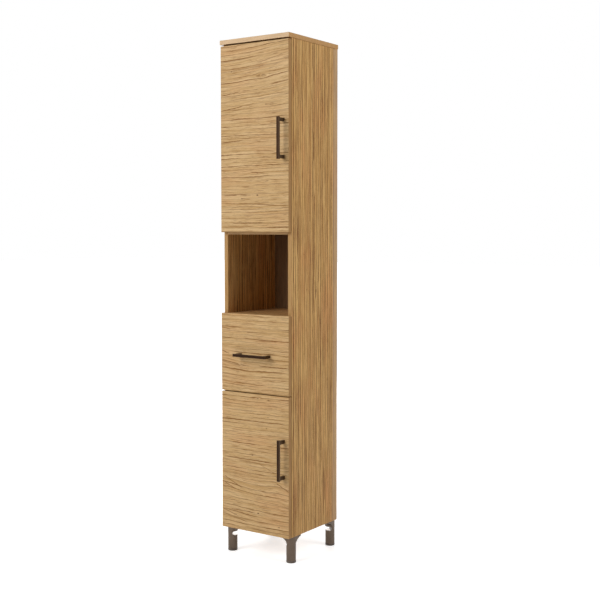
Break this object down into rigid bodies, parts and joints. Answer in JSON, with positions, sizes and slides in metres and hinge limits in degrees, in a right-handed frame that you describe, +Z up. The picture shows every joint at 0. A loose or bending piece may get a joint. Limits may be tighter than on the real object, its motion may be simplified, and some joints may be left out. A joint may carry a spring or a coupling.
{
  "type": "tall bathroom cabinet",
  "caption": "Tall slim cabinet on legs: a hinged door over an open niche, a drawer on runners and a second hinged door, with bar handles.",
  "frame": {"origin": "on the floor, under the middle of the whole cabinet's outline, handles included", "axes": "+X to the right as one faces the cabinet, +Y back towards the wall, +Z up"},
  "size_m": [0.305, 0.351, 1.87],
  "materials": {
    "oak_fronts": "matt oak veneer look, grain across",
    "oak_carcass": "matt oak veneer look, grain upright",
    "back_sheet": "thin fibreboard, printed brown",
    "drawer_board": "matt oak look board",
    "dark_bronze": "satin dark bronze",
    "leg_plastic": "satin bronze grey",
    "foot_plastic": "dark grey, dull",
    "hinge_steel": "nickel plated steel",
    "runner_steel": "zinc plated steel",
    "zinc_screws": "zinc plated steel",
    "dowel_wood": "plain beech",
    "clear_bumper": "clear and soft"
  },
  "bodies": {
    "carcass": {"left_side_panel": "oak_carcass", "right_side_panel": "oak_carcass", "top_panel": "oak_carcass", "bottom_panel": "oak_carcass", "drawer_divider": "oak_carcass", "niche_floor_panel": "oak_carcass", "niche_top_panel": "oak_carcass", "upper_shelf_1": "oak_carcass", "upper_shelf_2": "oak_carcass", "lower_shelf": "oak_carcass", "back_panel": "back_sheet", "leg_front_left": "leg_plastic", "leg_front_right": "leg_plastic", "leg_back_left": "leg_plastic", "leg_back_right": "leg_plastic", "hinge_plates": "hinge_steel", "hinge_arms": "hinge_steel", "wall_brackets": "hinge_steel", "runner_outer_members": "runner_steel", "shelf_pins": "zinc_screws", "cam_bolts": "zinc_screws", "cam_locks": "zinc_screws", "back_panel_nails": "zinc_screws", "wall_bracket_screws": "zinc_screws", "leg_screws": "zinc_screws", "hinge_plate_screws": "zinc_screws", "runner_outer_screws": "zinc_screws", "carcass_dowels": "dowel_wood"},
    "upper_door": {"upper_door_panel": "oak_fronts", "upper_handle": "dark_bronze", "upper_hinge_cups": "hinge_steel", "upper_cup_screws": "zinc_screws", "upper_handle_screws": "zinc_screws", "upper_bumpers": "clear_bumper"},
    "upper_links": {"upper_hinge_links": "hinge_steel"},
    "lower_door": {"lower_door_panel": "oak_fronts", "lower_handle": "dark_bronze", "lower_hinge_cups": "hinge_steel", "lower_cup_screws": "zinc_screws", "lower_handle_screws": "zinc_screws", "lower_bumpers": "clear_bumper"},
    "lower_links": {"lower_hinge_links": "hinge_steel"},
    "drawer": {"drawer_front": "oak_fronts", "drawer_bottom": "back_sheet", "drawer_left_side": "drawer_board", "drawer_right_side": "drawer_board", "drawer_back": "drawer_board", "drawer_handle": "dark_bronze", "runner_inner_members": "runner_steel", "drawer_handle_screws": "zinc_screws", "drawer_back_screws": "zinc_screws", "drawer_cam_bolts": "zinc_screws", "drawer_cams": "zinc_screws", "runner_inner_screws": "zinc_screws"},
    "runner_middles": {"runner_middle_members": "runner_steel"},
    "front_left_foot": {"foot_front_left": "foot_plastic"},
    "front_right_foot": {"foot_front_right": "foot_plastic"},
    "back_left_foot": {"foot_back_left": "foot_plastic"},
    "back_right_foot": {"foot_back_right": "foot_plastic"}
  },
  "joints": [
    {"name": "upper_door_hinge", "type": "hinge", "parent": "carcass", "child": "upper_door", "pos_m": [-0.145, -0.1315, 1.51475], "axis": [0, 0, -1], "range_deg": [0, 105]},
    {"name": "upper_link_hinge", "type": "hinge", "parent": "carcass", "child": "upper_links", "pos_m": [-0.1319, -0.1261, 1.51475], "axis": [0, 0, -1], "range_deg": [0, 127.05]},
    {"name": "lower_door_hinge", "type": "hinge", "parent": "carcass", "child": "lower_door", "pos_m": [-0.145, -0.1315, 0.3475], "axis": [0, 0, -1], "range_deg": [0, 105]},
    {"name": "lower_link_hinge", "type": "hinge", "parent": "carcass", "child": "lower_links", "pos_m": [-0.1319, -0.1261, 0.3475], "axis": [0, 0, -1], "range_deg": [0, 127.05]},
    {"name": "drawer_slide", "type": "slide", "parent": "carcass", "child": "drawer", "axis": [0, -1, 0], "range_m": [0, 0.24]},
    {"name": "runner_middle_slide", "type": "slide", "parent": "carcass", "child": "runner_middles", "axis": [0, -1, 0], "range_m": [0, 0.12]},
    {"name": "front_left_foot_screw", "type": "slide", "parent": "carcass", "child": "front_left_foot", "axis": [0, 0, -1], "range_m": [0, 0.01]},
    {"name": "front_right_foot_screw", "type": "slide", "parent": "carcass", "child": "front_right_foot", "axis": [0, 0, -1], "range_m": [0, 0.01]},
    {"name": "back_left_foot_screw", "type": "slide", "parent": "carcass", "child": "back_left_foot", "axis": [0, 0, -1], "range_m": [0, 0.01]},
    {"name": "back_right_foot_screw", "type": "slide", "parent": "carcass", "child": "back_right_foot", "axis": [0, 0, -1], "range_m": [0, 0.01]}
  ],
  "couplings": [
    {"joint": "upper_link_hinge", "follows": "upper_door_hinge", "ratio": 1.21},
    {"joint": "lower_link_hinge", "follows": "lower_door_hinge", "ratio": 1.21},
    {"joint": "runner_middle_slide", "follows": "drawer_slide", "ratio": 0.5}
  ]
}
